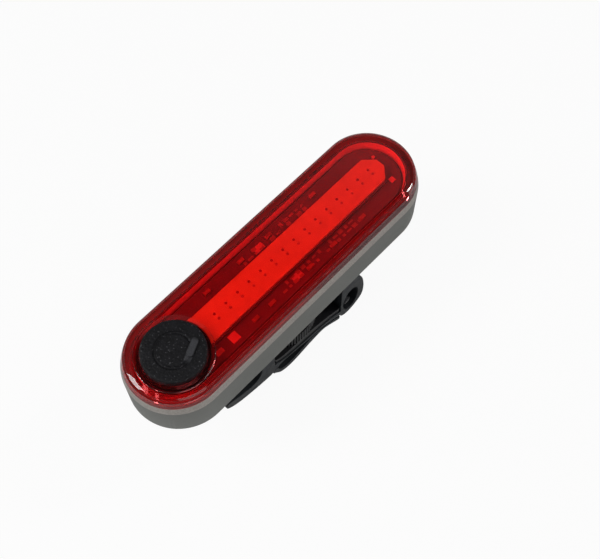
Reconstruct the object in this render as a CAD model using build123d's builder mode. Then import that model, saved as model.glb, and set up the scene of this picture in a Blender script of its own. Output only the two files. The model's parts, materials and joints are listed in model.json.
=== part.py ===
from build123d import *
import os

# A rechargeable rear light for a bicycle. The origin is where the swivel axis meets the saddle's seat for
# the tube. +X runs along the light from the button end, and +Z points out through the lens.

# Light
LIGHT_LENGTH = 78.3
LIGHT_WIDTH = 22.0
LIGHT_HEIGHT = 13.2
LIGHT_SHIFT = 2.5
SEAT_TO_BACK = 9.4
SHOULDER_HEIGHT = 2.0
SHOULDER_INSET = 0.41
WALL = 1.4
FLOOR = 1.6
BACK_ROUND = 0.6
OVERRUN = 1.0

# Lens and its gasket
LENS_HEIGHT = 2.0
LENS_INSET = 0.6
LENS_BEVEL = 0.35
WINDOW_THICKNESS = 1.0
SKIRT_DEPTH = 1.4
SKIRT_WALL = 1.3
SKIRT_CLEARANCE = 0.15
GASKET_WIDTH = 0.6
GASKET_HEIGHT = 0.8
GASKET_DROP = 0.3
GASKET_CLEARANCE = 0.05
BUTTON_RING_WIDTH = 1.3
BUTTON_RING_HEIGHT = 0.4
BUTTON_RING_ROUND = 0.2

# Button
BUTTON_CLEARANCE = 0.2
BUTTON_PROUD = 1.9
BUTTON_THICKNESS = 1.7
BUTTON_DOME = 0.2
BUTTON_ROUND = 0.45
BUTTON_WALL = 1.0
FLANGE_WIDTH = 0.5
FLANGE_CLEARANCE = 0.05
FLANGE_SIDE_GAP = 0.5
BUTTON_TRAVEL = 0.6
BUTTON_STOP_GAP = 0.1
GROOVE_INSET = 2.9
GROOVE_RADIUS = 0.4
MARK_LENGTH = 4.0
MARK_WIDTH = 1.5
MARK_HEIGHT = 0.25
MARK_DIRECTION = -37
MARK_TURN = 26
NIB_DIAMETER = 3.0

# Push switch
SWITCH_SIZE = 4.5
SWITCH_HEIGHT = 0.8
PLUNGER_DIAMETER = 2.2
PLUNGER_CLEARANCE = 0.05
PLUNGER_TRAVEL = 0.35
PLUNGER_STOP_GAP = 0.1
PLUNGER_PROUD = 0.05
NIB_CLEARANCE = 0.02

# Boards and light strip
BOARD_THICKNESS = 1.0
BOARD_DROP = 2.7
STRIP_SIDE = 3.4
STRIP_BOARD_THICKNESS = 0.8
STRIP_THICKNESS = 0.7
STRIP_START_GAP = 0.35
STRIP_END_INSET = 7.0
STRIP_MARGIN = 0.4
STRIP_TIP_WIDTH = 2.2
STRIP_TIP_ROUND = 0.8
CHIP_DIAMETER = 0.55
CHIP_CLEARANCE = 0.05
CHIP_PITCH = 3.26
CHIP_ROWS = 1.35
CHIP_START = 4.0
CHIP_END_GAP = 1.0
PAD_THICKNESS = 0.3
NEAR_PAD_SIZE = 2.1
NEAR_PAD_START = 3.5
NEAR_PAD_INSET = 1.95
FAR_PAD_SIZE = 1.25
FAR_PAD_INSET = 2.0
FAR_PAD_DIRECTION = -52
PART_LENGTH = 1.6
PART_WIDTH = 0.8
PART_HEIGHT = 0.45
PART_INSET = 1.6
NEAR_PART_SHARES = [0.175, 0.265, 0.474, 0.607, 0.774]
FAR_PART_SHARES = [0.126, 0.308, 0.46, 0.713]
LAMP_SIZE = 0.6
LAMP_HEIGHT = 0.5
LAMP_END = 6.4
LAMP_SIDE = 2.45

# Inner frame, cell and its leads
FRAME_CLEARANCE = 0.2
FRAME_WALL = 1.2
REFLECTOR_WALL = 0.45
REFLECTOR_LIP = 0.1
REFLECTOR_SIDE_GAP = 0.1
REFLECTOR_GAP = 0.1
LEDGE_OVERLAP = 0.9
LEDGE_THICKNESS = 1.2
BOARD_CLEARANCE = 0.4
RIB_THICKNESS = 1.4
RIB_SHARES = [0.17, 0.4, 0.94]
CELL_START = 0.15
CELL_END_GAP = 7.8
CELL_SIDE_GAP = 1.7
CELL_ROUND = 0.8
CELL_GAP = 0.1
FOAM_END_GAP = 4.0
FOAM_SIDE_GAP = 1.5
FOAM_THICKNESS = 1.5
FOAM_GAP = 0.05
LEAD_DIAMETER = 0.9
LEAD_BEND = 1.6
LEAD_SPACING = 2.4
LEAD_RUN = 4.0

# Charging socket
SOCKET_END = 12.15
SOCKET_WIDTH = 7.5
SOCKET_DEPTH = 2.6
SOCKET_SHEET = 0.3
SOCKET_BACK = 1.0
SOCKET_SEAT = 0.2
SOCKET_CLEARANCE = 0.25
TONGUE_WIDTH = 4.4
TONGUE_THICKNESS = 0.6
TONGUE_DROP = 0.8
SOCKET_BOARD_LENGTH = 10.4
SOCKET_BOARD_SIDE_GAP = 1.4
SOCKET_BOARD_THICKNESS = 0.8
PIN_SIZE = 0.5
PIN_LENGTH = 1.5
PIN_COUNT = 4
PIN_PITCH = 1.27
PIN_INSET = 0.6
SOCKET_RIB_THICKNESS = 2.6
BOARD_SCREW_SPREAD = 6.0
BOARD_SCREW_DIAMETER = 1.2
BOARD_SCREW_HEAD = 2.2
BOARD_SCREW_HEAD_HEIGHT = 0.7
BOARD_SCREW_LENGTH = 3.6
BOARD_SCREW_CLEARANCE = 0.02

# Socket flap
FLAP_LENGTH = 8.2
FLAP_WIDTH = 10.6
FLAP_THICKNESS = 0.9
FLAP_CLEARANCE = 0.15
FLAP_CORNER = 1.2
KNUCKLE_DIAMETER = 1.2
KNUCKLE_CLEARANCE = 0.08
LIP_LENGTH = 6.4
LIP_WIDTH = 1.6
LIP_HEIGHT = 0.7

# Swivel
HUB_DIAMETER = 12.0
HUB_CLEARANCE = 0.08
HUB_SEAT = 0.8
HUB_GAP = 0.05
DISC_INSET = 0.2
DISC_GAP = 0.35
DISC_BOTTOM = 2.7
BOSS_DIAMETER = 9.0
BOSS_HEIGHT = 2.4
BOSS_CAP = 0.4
SCREW_DIAMETER = 2.5
SCREW_CLEARANCE = 0.05
SCREW_TIP_GAP = 0.3
SCREW_HEAD = 4.6
SCREW_HEAD_HEIGHT = 1.4
SCREW_HEAD_BOTTOM = 1.5
SCREW_SLOT_WIDTH = 0.8
SCREW_SLOT_DEPTH = 0.6
COUNTERBORE_CLEARANCE = 0.4
WASHER_DIAMETER = 5.0
WASHER_THICKNESS = 0.5
WASHER_CLEARANCE = 0.08
WASHER_GAP = 0.05

# Rubber saddle, beam and strap
MOUNT_LENGTH = 42.6
MOUNT_DROP = 15.9
MOUNT_LEFT = -23.2
MOUNT_INSET = 0.5
BEAM_INSET = 0.3
MOUNT_GAP = 0.12
EYE_WIDTH = 4.85
EYE_HEIGHT = 8.8
EYE_PIN_DIAMETER = 2.4
EYE_PIN_INSET = 0.4
EYE_PIN_ROUND = 0.6
EYE_PIN_CLEARANCE = 0.02
LUG_WIDTH = 5.0
LUG_RADIUS = 1.9
LUG_CLEARANCE = 0.3
KNOT_RADIUS = 0.75
KNOT_CLEARANCE = 0.12

# Side outlines of the mount: each point is a share of the mount's length from its left end, and a share of
# its drop below the light's back
TONGUE_TIP_SHARES = [(0.014, 0.138), (0, 0.201), (0.014, 0.289)]
TONGUE_UNDER_SHARES = [(0.014, 0.289), (0.082, 0.415), (0.15, 0.478), (0.221, 0.528), (0.303, 0.566)]
FOLD_SHARES = [(0.303, 0.566), (0.359, 0.51)]
SEAT_SHARES = [(0.359, 0.51), (0.385, 0.491), (0.437, 0.519), (0.545, 0.591), (0.602, 0.626),
               (0.678, 0.66), (0.739, 0.73), (0.829, 0.874)]
SEAT_END_SHARES = [(0.829, 0.874), (0.829, 0.925)]
EYE_UNDER_SHARES = [(0.829, 0.925), (0.887, 1), (0.948, 0.95), (0.981, 0.881), (1, 0.698), (0.991, 0.399),
                    (0.948, 0.119), (0.908, 0.05), (0.85, 0.055), (0.824, 0.113)]
EYE_TO_POST_SHARES = [(0.824, 0.113), (0.333, 0.05)]
POST_TOP_SHARES = [(0.333, 0.05), (0.242, 0.05)]
TONGUE_TOP_SHARES = [(0.242, 0.05), (0.235, 0.214), (0.211, 0.283), (0.167, 0.308), (0.127, 0.277),
                     (0.063, 0.201), (0.014, 0.138)]
BEAM_UNDER_SHARES = [(0.35, 0.365), (0.387, 0.428), (0.512, 0.528), (0.662, 0.597), (0.815, 0.736)]
BEAM_END_SHARES = [(0.815, 0.736), (0.819, 0.651)]
BEAM_TOP_SHARES = [(0.819, 0.651), (0.775, 0.597), (0.662, 0.478), (0.548, 0.415), (0.474, 0.39),
                   (0.404, 0.358), (0.34, 0.258)]
BEAM_LEFT_SHARES = [(0.34, 0.258), (0.35, 0.365)]
POCKET_LEFT_SHARES = [(0.333, -0.05), (0.333, 0.355)]
POCKET_CORNER_SHARES = [(0.333, 0.355), (0.35, 0.365)]
POCKET_END_SHARES = [(0.815, 0.736), (0.824, 0.745)]
POCKET_RIGHT_SHARES = [(0.824, 0.745), (0.824, -0.05)]
POCKET_TOP_SHARES = [(0.824, -0.05), (0.333, -0.05)]
STRAP_UNDER_SHARES = [(0.327, 0.615), (0.351, 0.711), (0.372, 0.78), (0.406, 0.83), (0.451, 0.849),
                      (0.512, 0.827), (0.572, 0.786), (0.634, 0.758), (0.678, 0.752), (0.756, 0.855),
                      (0.817, 0.959)]
STRAP_END_SHARES = [(0.817, 0.959), (0.82, 0.89)]
STRAP_TOP_SHARES = [(0.82, 0.89), (0.736, 0.755), (0.676, 0.686), (0.599, 0.651), (0.521, 0.701),
                    (0.451, 0.742), (0.392, 0.717), (0.364, 0.642), (0.352, 0.557)]
STRAP_ROOT_SHARES = [(0.352, 0.557), (0.327, 0.615)]
KNOT_SHARES = (0.337, 0.582)
EYE_SHARES = (0.898, 0.616)
PIN_SHARES = (0.883, 0.686)
LUG_ROOT_SHARES = [(0.779, 0.61), (0.779, 0.695)]

# Levels and places worked out from the sizes
BACK = SEAT_TO_BACK
FLOOR_TOP = BACK + FLOOR
LENS_TOP = BACK + LIGHT_HEIGHT
SHOULDER = LENS_TOP - LENS_HEIGHT
RIM = SHOULDER - SHOULDER_HEIGHT
RIM_WIDTH = LIGHT_WIDTH - 2 * SHOULDER_INSET
CAVITY_WIDTH = LIGHT_WIDTH - 2 * WALL
FAR_END = LIGHT_SHIFT + LIGHT_LENGTH / 2
FAR_ARC_X = FAR_END - LIGHT_WIDTH / 2
WINDOW_UNDER = LENS_TOP - WINDOW_THICKNESS
SKIRT_UNDER = SHOULDER - SKIRT_DEPTH
SKIRT_WIDTH = CAVITY_WIDTH - 2 * SKIRT_CLEARANCE
WINDOW_WIDTH = SKIRT_WIDTH - 2 * SKIRT_WALL
GASKET_SEAT_WIDTH = SKIRT_WIDTH - 2 * GASKET_WIDTH
GASKET_UNDER = SHOULDER - GASKET_DROP - GASKET_HEIGHT
BUTTON_X = LIGHT_SHIFT - (LIGHT_LENGTH - LIGHT_WIDTH) / 2
REFLECTOR_TOP = WINDOW_UNDER - REFLECTOR_GAP
REFLECTOR_WIDTH = WINDOW_WIDTH - 2 * REFLECTOR_SIDE_GAP
REFLECTOR_INNER = REFLECTOR_WIDTH - 2 * REFLECTOR_WALL
BUTTON_DIAMETER = REFLECTOR_INNER - 2 * (FLANGE_SIDE_GAP + FLANGE_WIDTH)
BUTTON_TOP = LENS_TOP + BUTTON_PROUD
BUTTON_INNER = BUTTON_TOP - BUTTON_THICKNESS
BUTTON_HOLE = BUTTON_DIAMETER + 2 * BUTTON_CLEARANCE
BOARD_WIDTH = REFLECTOR_INNER - 2 * BOARD_CLEARANCE
BOARD_TOP = LENS_TOP - BOARD_DROP
BUTTON_UNDER = BOARD_TOP + BUTTON_TRAVEL + BUTTON_STOP_GAP
BOARD_UNDER = BOARD_TOP - BOARD_THICKNESS
STRIP_BOARD_TOP = BOARD_TOP + STRIP_BOARD_THICKNESS
STRIP_BOARD_WIDTH = BOARD_WIDTH - 2 * STRIP_SIDE
STRIP_WIDTH = STRIP_BOARD_WIDTH - 2 * STRIP_MARGIN
STRIP_NEAR = BUTTON_X + BUTTON_DIAMETER / 2 + FLANGE_WIDTH + STRIP_START_GAP
STRIP_FAR = FAR_END - STRIP_END_INSET
STRIP_LENGTH = STRIP_FAR - STRIP_NEAR
CHIP_PAIRS = int((STRIP_LENGTH - CHIP_START - CHIP_END_GAP) / CHIP_PITCH) + 1
PLUNGER_UNDER = BOARD_TOP + PLUNGER_STOP_GAP + PLUNGER_TRAVEL
PLUNGER_TOP = BOARD_TOP + SWITCH_HEIGHT + PLUNGER_PROUD + PLUNGER_TRAVEL
NIB_UNDER = PLUNGER_TOP - PLUNGER_TRAVEL + BUTTON_TRAVEL + NIB_CLEARANCE
FRAME_WIDTH = CAVITY_WIDTH - 2 * FRAME_CLEARANCE
FRAME_INNER = FRAME_WIDTH - 2 * FRAME_WALL
BOSS_TOP = FLOOR_TOP + BOSS_HEIGHT
LEDGE_INNER = BOARD_WIDTH - 2 * LEDGE_OVERLAP
CELL_UNDER = BOSS_TOP + CELL_GAP
CELL_TOP = BOARD_UNDER - FOAM_THICKNESS - 2 * FOAM_GAP
CELL_NEAR = BUTTON_X + CELL_START
CELL_WIDTH = FRAME_INNER - 2 * CELL_SIDE_GAP
SOCKET_X = FAR_END - SOCKET_END
SOCKET_BOARD_WIDTH = FRAME_INNER - 2 * SOCKET_BOARD_SIDE_GAP
CELL_FAR = SOCKET_X - SOCKET_BOARD_LENGTH / 2 - CELL_END_GAP
CELL_LENGTH = CELL_FAR - CELL_NEAR
CELL_X = (CELL_NEAR + CELL_FAR) / 2
SOCKET_UNDER = FLOOR_TOP + SOCKET_SEAT
SOCKET_BOARD_TOP = BOARD_UNDER - PIN_LENGTH
SOCKET_BOARD_UNDER = SOCKET_BOARD_TOP - SOCKET_BOARD_THICKNESS
SOCKET_HEIGHT = SOCKET_BOARD_UNDER - SOCKET_UNDER
SCREW_TOP = BOSS_TOP - BOSS_CAP
SCREW_HEAD_TOP = SCREW_HEAD_BOTTOM + SCREW_HEAD_HEIGHT
COUNTERBORE_TOP = SCREW_HEAD_TOP + WASHER_GAP + WASHER_THICKNESS
HUB_BORE = SCREW_DIAMETER + 2 * WASHER_CLEARANCE
FLAP_START = SOCKET_X - FLAP_LENGTH / 2
HINGE_X = SOCKET_X + FLAP_LENGTH / 2 - KNUCKLE_DIAMETER / 2
HINGE_Z = BACK + KNUCKLE_DIAMETER / 2
MOUNT_WIDTH = LIGHT_WIDTH - 2 * MOUNT_INSET
BEAM_WIDTH = MOUNT_WIDTH - 2 * BEAM_INSET
DISC_DIAMETER = BEAM_WIDTH - 2 * DISC_INSET


def stadium(width, level):
    """A round-ended outline, concentric with the light, at a height."""
    with BuildSketch(Plane.XY.offset(level)) as outline:
        with Locations((LIGHT_SHIFT, 0)):
            SlotOverall(LIGHT_LENGTH - LIGHT_WIDTH + width, width)
    return outline.sketch


def stadium_ring(outer, inner, level):
    """The band between two round-ended outlines."""
    with BuildSketch(Plane.XY.offset(level)) as outline:
        with Locations((LIGHT_SHIFT, 0)):
            SlotOverall(LIGHT_LENGTH - LIGHT_WIDTH + outer, outer)
            SlotOverall(LIGHT_LENGTH - LIGHT_WIDTH + inner, inner, mode=Mode.SUBTRACT)
    return outline.sketch


def discs(places, diameter, level):
    """Round outlines at a height."""
    with BuildSketch(Plane.XY.offset(level)) as outline:
        with Locations(*places):
            Circle(diameter / 2)
    return outline.sketch


def plates(places, length, width, level):
    """Rectangles at a height."""
    with BuildSketch(Plane.XY.offset(level)) as outline:
        with Locations(*places):
            Rectangle(length, width)
    return outline.sketch


def flap_outline(start, end, width, level):
    """The flap's outline: square at its hinge and round at its free corners."""
    with BuildSketch(Plane.XY.offset(level)) as outline:
        with Locations(((start + end) / 2, 0)):
            Rectangle(end - start, width)
        fillet(outline.vertices().group_by(Axis.X)[0], FLAP_CORNER)
    return outline.sketch


def side_point(shares, drop=0):
    """A point of the mount's side outline, from its shares of the mount's length and drop."""
    return (MOUNT_LEFT + shares[0] * MOUNT_LENGTH, BACK - shares[1] * MOUNT_DROP - drop)


def side_outline(runs, drop=0):
    """A closed side outline. A run of two points is a line, and a longer one is a smooth curve."""
    with BuildSketch(Plane.XZ) as outline:
        with BuildLine():
            for run in runs:
                points = [side_point(shares, drop) for shares in run]
                if len(points) == 2:
                    Line(*points)
                else:
                    Spline(*points)
        make_face()
    return outline.sketch


def side_circle(centre, radius):
    """A circle seen from the side."""
    with BuildSketch(Plane.XZ) as outline:
        with Locations(centre):
            Circle(radius)
    return outline.sketch


def named(name, label):
    """Labels a finished piece and writes it."""
    name.part.label = label
    export_step(name.part, f"parts/{label}.step")


def middle(outline, width, mode=Mode.ADD):
    """Extrudes a side outline evenly to both sides of the light's middle plane."""
    extrude(outline, amount=width / 2, both=True, mode=mode)


os.makedirs("parts", exist_ok=True)

# Housing: a grey shell with a lighter sloping shoulder, a boss for the swivel and a recess for the flap
with BuildPart() as housing:
    extrude(stadium(LIGHT_WIDTH, BACK), amount=RIM - BACK)
    fillet(housing.faces().sort_by(Axis.Z)[0].edges(), BACK_ROUND)
    loft([stadium(LIGHT_WIDTH, RIM), stadium(RIM_WIDTH, SHOULDER)], ruled=True)
    extrude(stadium(CAVITY_WIDTH, FLOOR_TOP), amount=SHOULDER - FLOOR_TOP, mode=Mode.SUBTRACT)
    extrude(discs([(0, 0)], BOSS_DIAMETER, FLOOR_TOP), amount=BOSS_HEIGHT)
    extrude(discs([(0, 0)], HUB_DIAMETER + 2 * HUB_CLEARANCE, BACK), amount=HUB_SEAT, mode=Mode.SUBTRACT)
    extrude(discs([(0, 0)], SCREW_DIAMETER + 2 * SCREW_CLEARANCE, BACK), amount=SCREW_TOP - BACK,
            mode=Mode.SUBTRACT)
    extrude(flap_outline(FLAP_START - FLAP_CLEARANCE, SOCKET_X + FLAP_LENGTH / 2 + FLAP_CLEARANCE,
                         FLAP_WIDTH + 2 * FLAP_CLEARANCE, BACK),
            amount=FLAP_THICKNESS + FLAP_CLEARANCE, mode=Mode.SUBTRACT)
    extrude(plates([(SOCKET_X, 0)], SOCKET_DEPTH + 2 * SOCKET_CLEARANCE, SOCKET_WIDTH + 2 * SOCKET_CLEARANCE,
                   BACK), amount=FLOOR, mode=Mode.SUBTRACT)
    middle(side_circle((HINGE_X, HINGE_Z), KNUCKLE_DIAMETER / 2 + KNUCKLE_CLEARANCE),
           FLAP_WIDTH + 2 * FLAP_CLEARANCE, Mode.SUBTRACT)
named(housing, "housing")

# Lens: a thick clear rim round a thinner window, a ring round the button and a skirt inside the housing
with BuildPart() as lens:
    loft([stadium(RIM_WIDTH, SHOULDER), stadium(RIM_WIDTH - 2 * LENS_INSET, LENS_TOP)], ruled=True)
    chamfer(lens.faces().sort_by(Axis.Z)[-1].edges(), LENS_BEVEL)
    extrude(discs([(BUTTON_X, 0)], BUTTON_HOLE + 2 * BUTTON_RING_WIDTH, LENS_TOP), amount=BUTTON_RING_HEIGHT)
    fillet(lens.faces().sort_by(Axis.Z)[-1].edges(), BUTTON_RING_ROUND)
    extrude(stadium(SKIRT_WIDTH, SKIRT_UNDER), amount=SKIRT_DEPTH)
    extrude(stadium_ring(SKIRT_WIDTH, GASKET_SEAT_WIDTH, GASKET_UNDER), amount=GASKET_HEIGHT,
            mode=Mode.SUBTRACT)
    extrude(stadium(WINDOW_WIDTH, SKIRT_UNDER), amount=WINDOW_UNDER - SKIRT_UNDER, mode=Mode.SUBTRACT)
    extrude(discs([(BUTTON_X, 0)], BUTTON_HOLE, SKIRT_UNDER), amount=BUTTON_TOP - SKIRT_UNDER + OVERRUN,
            mode=Mode.SUBTRACT)
named(lens, "lens")

# Gasket: a soft ring in the groove of the lens skirt
with BuildPart() as gasket:
    extrude(stadium_ring(CAVITY_WIDTH - 2 * GASKET_CLEARANCE, GASKET_SEAT_WIDTH + 2 * GASKET_CLEARANCE,
                         GASKET_UNDER), amount=GASKET_HEIGHT)
named(gasket, "lens_gasket")

# Inner frame: a wall with a ledge for the main board, a sloping reflector wall up to the window, and ribs
# under the cell and under the socket board
with BuildPart() as frame:
    extrude(stadium_ring(FRAME_WIDTH, FRAME_INNER, FLOOR_TOP), amount=SKIRT_UNDER - FLOOR_TOP)
    extrude(stadium_ring(FRAME_WIDTH, LEDGE_INNER, BOARD_UNDER - LEDGE_THICKNESS), amount=LEDGE_THICKNESS)
    extrude(stadium(REFLECTOR_WIDTH, BOARD_UNDER), amount=REFLECTOR_TOP - BOARD_UNDER)
    extrude(stadium(REFLECTOR_INNER, BOARD_UNDER), amount=BOARD_THICKNESS, mode=Mode.SUBTRACT)
    loft([stadium(REFLECTOR_INNER, BOARD_TOP), stadium(REFLECTOR_WIDTH - 2 * REFLECTOR_LIP, REFLECTOR_TOP)],
         ruled=True, mode=Mode.SUBTRACT)
    rib_places = [(CELL_NEAR + share * CELL_LENGTH, 0) for share in RIB_SHARES]
    extrude(plates(rib_places, RIB_THICKNESS, FRAME_INNER + FRAME_WALL, FLOOR_TOP),
            amount=CELL_UNDER - FLOOR_TOP)
    screw_places = [(SOCKET_X + side * BOARD_SCREW_SPREAD / 2, 0) for side in (-1, 1)]
    extrude(plates(screw_places, SOCKET_RIB_THICKNESS, FRAME_INNER + FRAME_WALL, FLOOR_TOP),
            amount=SOCKET_BOARD_UNDER - FLOOR_TOP)
    extrude(discs(screw_places, BOARD_SCREW_DIAMETER + 2 * BOARD_SCREW_CLEARANCE,
                  SOCKET_BOARD_TOP - BOARD_SCREW_LENGTH), amount=BOARD_SCREW_LENGTH, mode=Mode.SUBTRACT)
named(frame, "inner_frame")

# Main board: the dark panel seen through the window
with BuildPart() as main_board:
    extrude(stadium(BOARD_WIDTH, BOARD_UNDER), amount=BOARD_THICKNESS)
named(main_board, "main_board")


def strip_outline(margin, width, level):
    """The light strip's outline: hollowed to follow the button, with cut and rounded far corners."""
    with BuildSketch(Plane.XY.offset(level)) as outline:
        with Locations(((BUTTON_X + STRIP_FAR + margin) / 2, 0)):
            Rectangle(STRIP_FAR + margin - BUTTON_X, width)
        chamfer(outline.vertices().group_by(Axis.X)[-1], (STRIP_WIDTH - STRIP_TIP_WIDTH) / 2)
        fillet(outline.vertices().sort_by(Axis.X)[-4:], STRIP_TIP_ROUND)
        with Locations((BUTTON_X, 0)):
            Circle(STRIP_NEAR - BUTTON_X, mode=Mode.SUBTRACT)
    return outline.sketch


CHIP_PLACES = [(STRIP_NEAR + CHIP_START + pair * CHIP_PITCH, row * CHIP_ROWS / 2)
               for pair in range(CHIP_PAIRS) for row in (-1, 1)]

# Carrier board of the light strip
with BuildPart() as strip_board:
    extrude(strip_outline(STRIP_MARGIN, STRIP_BOARD_WIDTH, BOARD_TOP), amount=STRIP_BOARD_THICKNESS)
named(strip_board, "strip_board")

# Light strip: one layer of coloured gel with a hole over each chip
with BuildPart() as strip:
    extrude(strip_outline(0, STRIP_WIDTH, STRIP_BOARD_TOP), amount=STRIP_THICKNESS)
    extrude(discs(CHIP_PLACES, CHIP_DIAMETER + 2 * CHIP_CLEARANCE, STRIP_BOARD_TOP), amount=STRIP_THICKNESS,
            mode=Mode.SUBTRACT)
named(strip, "light_strip")

# Light chips: two rows of small chips in the strip
with BuildPart() as chips:
    extrude(discs(CHIP_PLACES, CHIP_DIAMETER, STRIP_BOARD_TOP), amount=STRIP_THICKNESS - CHIP_CLEARANCE)
named(chips, "light_chips")

# Solder pads beside the strip
with BuildPart() as pads:
    near_pad_y = NEAR_PAD_INSET - BOARD_WIDTH / 2
    extrude(plates([(STRIP_NEAR + NEAR_PAD_START, near_pad_y)], NEAR_PAD_SIZE, NEAR_PAD_SIZE, BOARD_TOP),
            amount=PAD_THICKNESS)
    with BuildSketch(Plane(origin=(FAR_ARC_X, 0, BOARD_TOP))):
        with PolarLocations(BOARD_WIDTH / 2 - FAR_PAD_INSET, 1, FAR_PAD_DIRECTION, rotate=False):
            Rectangle(FAR_PAD_SIZE, FAR_PAD_SIZE)
    extrude(amount=PAD_THICKNESS)
named(pads, "solder_pads")

# Small parts on the main board
with BuildPart() as board_parts:
    for side, shares in [(-1, NEAR_PART_SHARES), (1, FAR_PART_SHARES)]:
        part_y = side * (BOARD_WIDTH / 2 - PART_INSET)
        part_places = [(STRIP_NEAR + share * STRIP_LENGTH, part_y) for share in shares]
        extrude(plates(part_places, PART_LENGTH, PART_WIDTH, BOARD_TOP), amount=PART_HEIGHT)
named(board_parts, "board_parts")

# Charge lamp at the far end of the main board
with BuildPart() as lamp:
    extrude(plates([(FAR_END - LAMP_END, LAMP_SIDE)], LAMP_SIZE, LAMP_SIZE, BOARD_TOP), amount=LAMP_HEIGHT)
named(lamp, "charge_lamp")

# Push switch base, with a hole for its plunger
with BuildPart() as switch_base:
    extrude(plates([(BUTTON_X, 0)], SWITCH_SIZE, SWITCH_SIZE, BOARD_TOP), amount=SWITCH_HEIGHT)
    extrude(discs([(BUTTON_X, 0)], PLUNGER_DIAMETER + 2 * PLUNGER_CLEARANCE, BOARD_TOP),
            amount=SWITCH_HEIGHT, mode=Mode.SUBTRACT)
named(switch_base, "switch_base")

# Push switch plunger
with BuildPart() as plunger:
    extrude(discs([(BUTTON_X, 0)], PLUNGER_DIAMETER, PLUNGER_UNDER), amount=PLUNGER_TOP - PLUNGER_UNDER)
named(plunger, "switch_plunger")

# Button cap: a domed rubber disc with a ring groove and a raised bar, a skirt with a flange under the lens,
# and a nib over the plunger
BUTTON_PLANE = Plane(origin=(BUTTON_X, 0, 0), x_dir=(1, 0, 0), z_dir=(0, -1, 0))
with BuildPart() as button:
    cap_radius = BUTTON_DIAMETER / 2
    flange_radius = cap_radius + FLANGE_WIDTH
    dome_edge = BUTTON_TOP - BUTTON_DOME
    dome_half = cap_radius - BUTTON_ROUND
    dome_radius = (dome_half**2 + BUTTON_DOME**2) / (2 * BUTTON_DOME)
    with BuildSketch(BUTTON_PLANE) as profile:
        with BuildLine():
            Polyline((0, BUTTON_TOP), (0, NIB_UNDER), (NIB_DIAMETER / 2, NIB_UNDER),
                     (NIB_DIAMETER / 2, BUTTON_INNER), (cap_radius - BUTTON_WALL, BUTTON_INNER),
                     (cap_radius - BUTTON_WALL, BUTTON_UNDER), (flange_radius, BUTTON_UNDER),
                     (flange_radius, WINDOW_UNDER - FLANGE_CLEARANCE),
                     (cap_radius, WINDOW_UNDER - FLANGE_CLEARANCE), (cap_radius, dome_edge - BUTTON_ROUND))
            RadiusArc((cap_radius, dome_edge - BUTTON_ROUND), (cap_radius - BUTTON_ROUND, dome_edge),
                      -BUTTON_ROUND)
            RadiusArc((dome_half, dome_edge), (0, BUTTON_TOP), -dome_radius)
        make_face()
        with Locations((cap_radius - GROOVE_INSET, BUTTON_TOP)):
            Circle(GROOVE_RADIUS, mode=Mode.SUBTRACT)
    revolve(axis=Axis((BUTTON_X, 0, 0), (0, 0, 1)))
    with BuildSketch(Plane(origin=(BUTTON_X, 0, BUTTON_INNER)).rotated((0, 0, MARK_DIRECTION))):
        with Locations(Location((cap_radius - GROOVE_INSET, 0), MARK_TURN - MARK_DIRECTION)):
            SlotOverall(MARK_LENGTH, MARK_WIDTH)
    extrude(amount=BUTTON_TOP + MARK_HEIGHT - BUTTON_INNER)
named(button, "button_cap")

# Cell: a flat rechargeable pouch
with BuildPart() as cell:
    extrude(plates([(CELL_X, 0)], CELL_LENGTH, CELL_WIDTH, CELL_UNDER), amount=CELL_TOP - CELL_UNDER)
    fillet(cell.edges().filter_by(Axis.X), CELL_ROUND)
named(cell, "battery")

# Foam pad between the cell and the main board
with BuildPart() as foam:
    extrude(plates([(CELL_X, 0)], CELL_LENGTH - 2 * FOAM_END_GAP, CELL_WIDTH - 2 * FOAM_SIDE_GAP,
                   CELL_TOP + FOAM_GAP), amount=FOAM_THICKNESS)
named(foam, "foam_pad")

# Cell leads: two wires from the cell's end up to the main board
with BuildPart() as leads:
    lead_level = (CELL_UNDER + CELL_TOP) / 2
    for side in (-1, 1):
        lead_y = side * LEAD_SPACING / 2
        with BuildLine() as route:
            FilletPolyline((CELL_FAR, lead_y, lead_level), (CELL_FAR + LEAD_RUN, lead_y, lead_level),
                           (CELL_FAR + LEAD_RUN, lead_y, BOARD_UNDER), radius=LEAD_BEND)
        with BuildSketch(Plane(origin=route.line @ 0, z_dir=route.line % 0)) as wire:
            Circle(LEAD_DIAMETER / 2)
        sweep(wire.sketch, path=route.line)
named(leads, "battery_leads")

# Charging socket shell: a folded sheet open towards the back of the light
with BuildPart() as shell:
    extrude(plates([(SOCKET_X, 0)], SOCKET_DEPTH, SOCKET_WIDTH, SOCKET_UNDER), amount=SOCKET_HEIGHT)
    extrude(plates([(SOCKET_X, 0)], SOCKET_DEPTH - 2 * SOCKET_SHEET, SOCKET_WIDTH - 2 * SOCKET_SHEET,
                   SOCKET_UNDER), amount=SOCKET_HEIGHT - SOCKET_SHEET, mode=Mode.SUBTRACT)
named(shell, "socket_shell")

# Charging socket tongue with its block
with BuildPart() as tongue:
    block_level = SOCKET_BOARD_UNDER - SOCKET_SHEET - SOCKET_BACK
    extrude(plates([(SOCKET_X, 0)], SOCKET_DEPTH - 2 * SOCKET_SHEET, SOCKET_WIDTH - 2 * SOCKET_SHEET,
                   block_level), amount=SOCKET_BACK)
    extrude(plates([(SOCKET_X, 0)], TONGUE_THICKNESS, TONGUE_WIDTH, SOCKET_UNDER + TONGUE_DROP),
            amount=block_level - SOCKET_UNDER - TONGUE_DROP)
named(tongue, "socket_tongue")

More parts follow.
